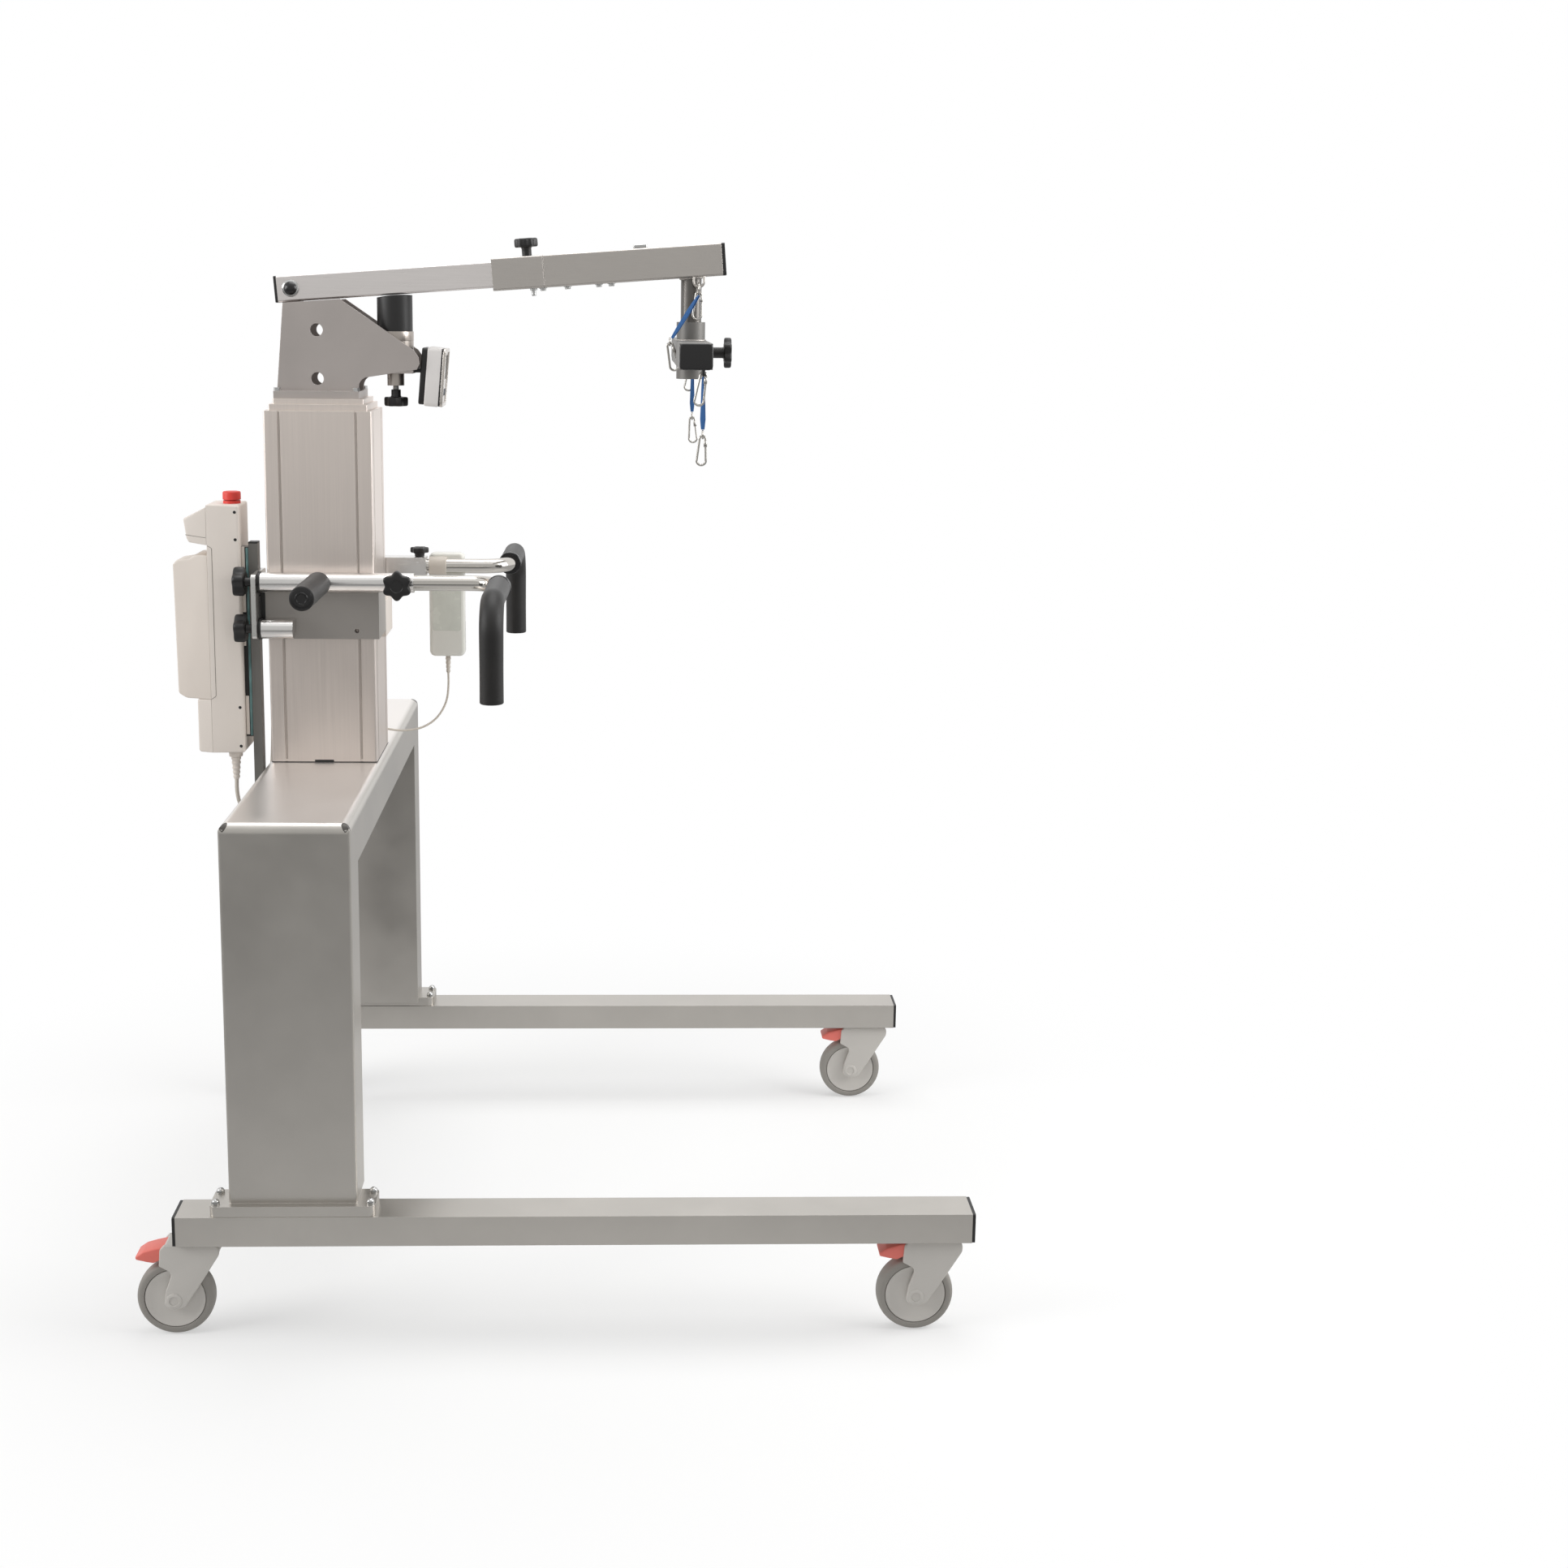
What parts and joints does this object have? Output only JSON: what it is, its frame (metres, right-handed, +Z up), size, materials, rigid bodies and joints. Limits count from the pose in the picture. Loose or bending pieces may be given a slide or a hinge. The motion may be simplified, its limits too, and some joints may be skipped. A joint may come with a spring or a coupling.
{
  "type": "body weight support system",
  "caption": "Wheeled frame with side rails, a portal and a lifting column; a sprung telescopic boom with a spreader bar and slings supports a walking person.",
  "frame": {"origin": "bottom centre of the bounding box, on the floor", "axes": "+X forward along the rails, +Y to the left across the frame, +Z up"},
  "size_m": [1.3724, 1.08, 1.7865],
  "materials": {
    "frame_paint": "satin",
    "head_paint": "satin",
    "silver_paint": "satin",
    "boom_silver": "satin",
    "boom_grey": "satin",
    "clamp_paint": "satin",
    "mast_grey": "satin",
    "dark_steel": "satin",
    "drive_grey": "matt",
    "column_aluminium": "brushed",
    "plate_aluminium": "brushed",
    "zinc_steel": "satin",
    "galvanised": "satin",
    "bar_chrome": "polished",
    "nickel": "polished",
    "black_plastic": "matt",
    "black_gloss": "gloss",
    "caster_grey": "matt",
    "caster_tread": "matt",
    "red_plastic": "gloss",
    "display_plastic": "matt",
    "cream_plastic": "matt",
    "battery_plastic": "matt",
    "handset_plastic": "semi-gloss",
    "key_plastic": "matt",
    "cable_grey": "matt",
    "foam": "matt",
    "blue_webbing": "woven"
  },
  "bodies": {
    "frame": {"rails": "frame_paint", "rail_end_caps": "black_plastic", "portal": "frame_paint", "foot_bolts": "zinc_steel", "column_outer": "column_aluminium", "lift_drive": "drive_grey", "clamp_housing": "clamp_paint", "clamp_rear_half": "cream_plastic", "clamp_plate": "plate_aluminium", "handle_sockets": "galvanised", "stub_grip": "foam", "mast_bar": "mast_grey", "control_box": "cream_plastic", "control_cable": "cable_grey", "handset": "handset_plastic", "handset_cable": "cable_grey"},
    "lift_mid": {"column_mid": "column_aluminium"},
    "lift_inner": {"column_inner": "column_aluminium", "head_bracket": "head_paint", "head_bolts": "zinc_steel", "pivot_pin": "black_gloss", "spring_housing": "silver_paint", "display": "display_plastic"},
    "plunger": {"spring_plunger": "black_plastic"},
    "preload": {"preload_knob": "black_plastic"},
    "boom": {"boom_inner": "boom_silver"},
    "boom_extension": {"boom_outer": "boom_grey", "boom_end_cap": "black_plastic", "swivel_post": "dark_steel"},
    "boom_lock": {"boom_lock_knob": "black_plastic"},
    "spreader": {"spreader_bar": "boom_grey", "spreader_caps": "black_gloss"},
    "spreader_lock": {"spreader_knob": "black_plastic"},
    "center_sling": {"center_strap": "blue_webbing", "center_hooks": "nickel"},
    "spreader_slings": {"spreader_straps": "blue_webbing", "spreader_hooks": "nickel"},
    "clamp_screw_upper": {"clamp_knob_upper": "black_plastic"},
    "clamp_screw_lower": {"clamp_knob_lower": "black_plastic"},
    "star_near": {"star_knob_near": "black_plastic"},
    "star_far": {"star_knob_far": "black_plastic"},
    "handle_near": {"handlebar_near": "bar_chrome", "grip_near": "foam"},
    "handle_far": {"handlebar_far": "bar_chrome", "grip_far": "foam"},
    "battery_pack": {"battery": "battery_plastic"},
    "stop_button": {"emergency_button": "red_plastic"},
    "keys": {"handset_keys": "key_plastic"},
    "caster_rear_near": {"fork_rear_near": "caster_grey"},
    "caster_wheel_rear_near": {"wheel_rear_near": "caster_tread"},
    "brake_rear_near": {"pedal_rear_near": "red_plastic"},
    "caster_rear_far": {"fork_rear_far": "caster_grey"},
    "caster_wheel_rear_far": {"wheel_rear_far": "caster_tread"},
    "brake_rear_far": {"pedal_rear_far": "red_plastic"},
    "caster_front_near": {"fork_front_near": "caster_grey"},
    "caster_wheel_front_near": {"wheel_front_near": "caster_tread"},
    "brake_front_near": {"pedal_front_near": "red_plastic"},
    "caster_front_far": {"fork_front_far": "caster_grey"},
    "caster_wheel_front_far": {"wheel_front_far": "caster_tread"},
    "brake_front_far": {"pedal_front_far": "red_plastic"}
  },
  "joints": [
    {"name": "lift_lower", "type": "slide", "parent": "frame", "child": "lift_mid", "axis": [0, 0, 1], "range_m": [0, 0.25]},
    {"name": "lift_upper", "type": "slide", "parent": "lift_mid", "child": "lift_inner", "axis": [0, 0, 1], "range_m": [0, 0.25]},
    {"name": "boom_pivot", "type": "hinge", "parent": "lift_inner", "child": "boom", "pos_m": [-0.476, 0, 1.6946], "axis": [0, -1, 0], "range_deg": [0, 4], "stiffness_Nm_per_rad": 3000},
    {"name": "plunger_slide", "type": "slide", "parent": "lift_inner", "child": "plunger", "axis": [0, 0, 1], "range_m": [0, 0.0121]},
    {"name": "preload_turn", "type": "hinge", "parent": "lift_inner", "child": "preload", "pos_m": [-0.2985, 0, 1.519], "axis": [0, 0, 1], "continuous": true},
    {"name": "boom_length", "type": "slide", "parent": "boom", "child": "boom_extension", "axis": [0.9971, 0, 0.0767], "range_m": [-0.1, 0.15]},
    {"name": "boom_lock_turn", "type": "hinge", "parent": "boom_extension", "child": "boom_lock", "pos_m": [-0.06636, 0, 1.7542], "axis": [-0.0767, 0, 0.9971], "continuous": true},
    {"name": "spreader_swivel", "type": "hinge", "parent": "boom_extension", "child": "spreader", "pos_m": [0.222, 0, 1.59022], "axis": [0, 0, 1], "range_deg": [0, 90]},
    {"name": "spreader_lock_turn", "type": "hinge", "parent": "spreader", "child": "spreader_lock", "pos_m": [0.262, 0, 1.59022], "axis": [1, 0, 0], "continuous": true},
    {"name": "center_sling_swing", "type": "hinge", "parent": "boom_extension", "child": "center_sling", "pos_m": [0.2345, -0.0258, 1.71319], "axis": [0, 1, 0], "range_deg": [0, 30]},
    {"name": "spreader_sling_swing", "type": "hinge", "parent": "spreader", "child": "spreader_slings", "pos_m": [0.2345, 0, 1.56022], "axis": [0, 1, 0], "range_deg": [-35, 35]},
    {"name": "clamp_upper_turn", "type": "hinge", "parent": "frame", "child": "clamp_screw_upper", "pos_m": [-0.5368, -0.118, 1.192], "axis": [1, 0, 0], "continuous": true},
    {"name": "clamp_lower_turn", "type": "hinge", "parent": "frame", "child": "clamp_screw_lower", "pos_m": [-0.5368, -0.118, 1.11], "axis": [1, 0, 0], "continuous": true},
    {"name": "star_near_turn", "type": "hinge", "parent": "frame", "child": "star_near", "pos_m": [-0.2845, -0.135, 1.192], "axis": [0, -1, 0], "continuous": true},
    {"name": "star_far_turn", "type": "hinge", "parent": "frame", "child": "star_far", "pos_m": [-0.273, 0.118, 1.2095], "axis": [0, 0, 1], "continuous": true},
    {"name": "handle_near_slide", "type": "slide", "parent": "frame", "child": "handle_near", "axis": [1, 0, 0], "range_m": [-0.03, 0.08]},
    {"name": "handle_far_slide", "type": "slide", "parent": "frame", "child": "handle_far", "axis": [1, 0, 0], "range_m": [-0.03, 0.08]},
    {"name": "battery_out", "type": "slide", "parent": "frame", "child": "battery_pack", "axis": [-1, 0, 0], "range_m": [0, 0.06]},
    {"name": "stop_press", "type": "slide", "parent": "frame", "child": "stop_button", "axis": [0, 0, -1], "range_m": [0, 0.004], "stiffness_N_per_m": 1500},
    {"name": "key_press", "type": "slide", "parent": "frame", "child": "keys", "axis": [0, -1, 0], "range_m": [0, 0.0015], "stiffness_N_per_m": 800},
    {"name": "swivel_rear_near", "type": "hinge", "parent": "frame", "child": "caster_rear_near", "pos_m": [-0.57475, -0.505, 0.1604], "axis": [0, 0, 1], "continuous": true},
    {"name": "roll_rear_near", "type": "hinge", "parent": "caster_rear_near", "child": "caster_wheel_rear_near", "pos_m": [-0.62275, -0.505, 0.0635], "axis": [0, 1, 0], "continuous": true},
    {"name": "brake_press_rear_near", "type": "hinge", "parent": "caster_rear_near", "child": "brake_rear_near", "pos_m": [-0.63375, -0.505, 0.1484], "axis": [0, -1, 0], "range_deg": [0, 15]},
    {"name": "swivel_rear_far", "type": "hinge", "parent": "frame", "child": "caster_rear_far", "pos_m": [-0.57475, 0.505, 0.1604], "axis": [0, 0, 1], "continuous": true},
    {"name": "roll_rear_far", "type": "hinge", "parent": "caster_rear_far", "child": "caster_wheel_rear_far", "pos_m": [-0.62275, 0.505, 0.0635], "axis": [0, 1, 0], "continuous": true},
    {"name": "brake_press_rear_far", "type": "hinge", "parent": "caster_rear_far", "child": "brake_rear_far", "pos_m": [-0.63375, 0.505, 0.1484], "axis": [0, -1, 0], "range_deg": [0, 15]},
    {"name": "swivel_front_near", "type": "hinge", "parent": "frame", "child": "caster_front_near", "pos_m": [0.64125, -0.505, 0.1604], "axis": [0, 0, 1], "continuous": true},
    {"name": "roll_front_near", "type": "hinge", "parent": "caster_front_near", "child": "caster_wheel_front_near", "pos_m": [0.59325, -0.505, 0.0635], "axis": [0, 1, 0], "continuous": true},
    {"name": "brake_press_front_near", "type": "hinge", "parent": "caster_front_near", "child": "brake_front_near", "pos_m": [0.58225, -0.505, 0.1484], "axis": [0, -1, 0], "range_deg": [0, 15]},
    {"name": "swivel_front_far", "type": "hinge", "parent": "frame", "child": "caster_front_far", "pos_m": [0.64125, 0.505, 0.1604], "axis": [0, 0, 1], "continuous": true},
    {"name": "roll_front_far", "type": "hinge", "parent": "caster_front_far", "child": "caster_wheel_front_far", "pos_m": [0.59325, 0.505, 0.0635], "axis": [0, 1, 0], "continuous": true},
    {"name": "brake_press_front_far", "type": "hinge", "parent": "caster_front_far", "child": "brake_front_far", "pos_m": [0.58225, 0.505, 0.1484], "axis": [0, -1, 0], "range_deg": [0, 15]}
  ],
  "couplings": [
    {"joint": "lift_upper", "follows": "lift_lower", "ratio": 1},
    {"joint": "plunger_slide", "follows": "boom_pivot", "m_per_rad": 0.17016}
  ]
}
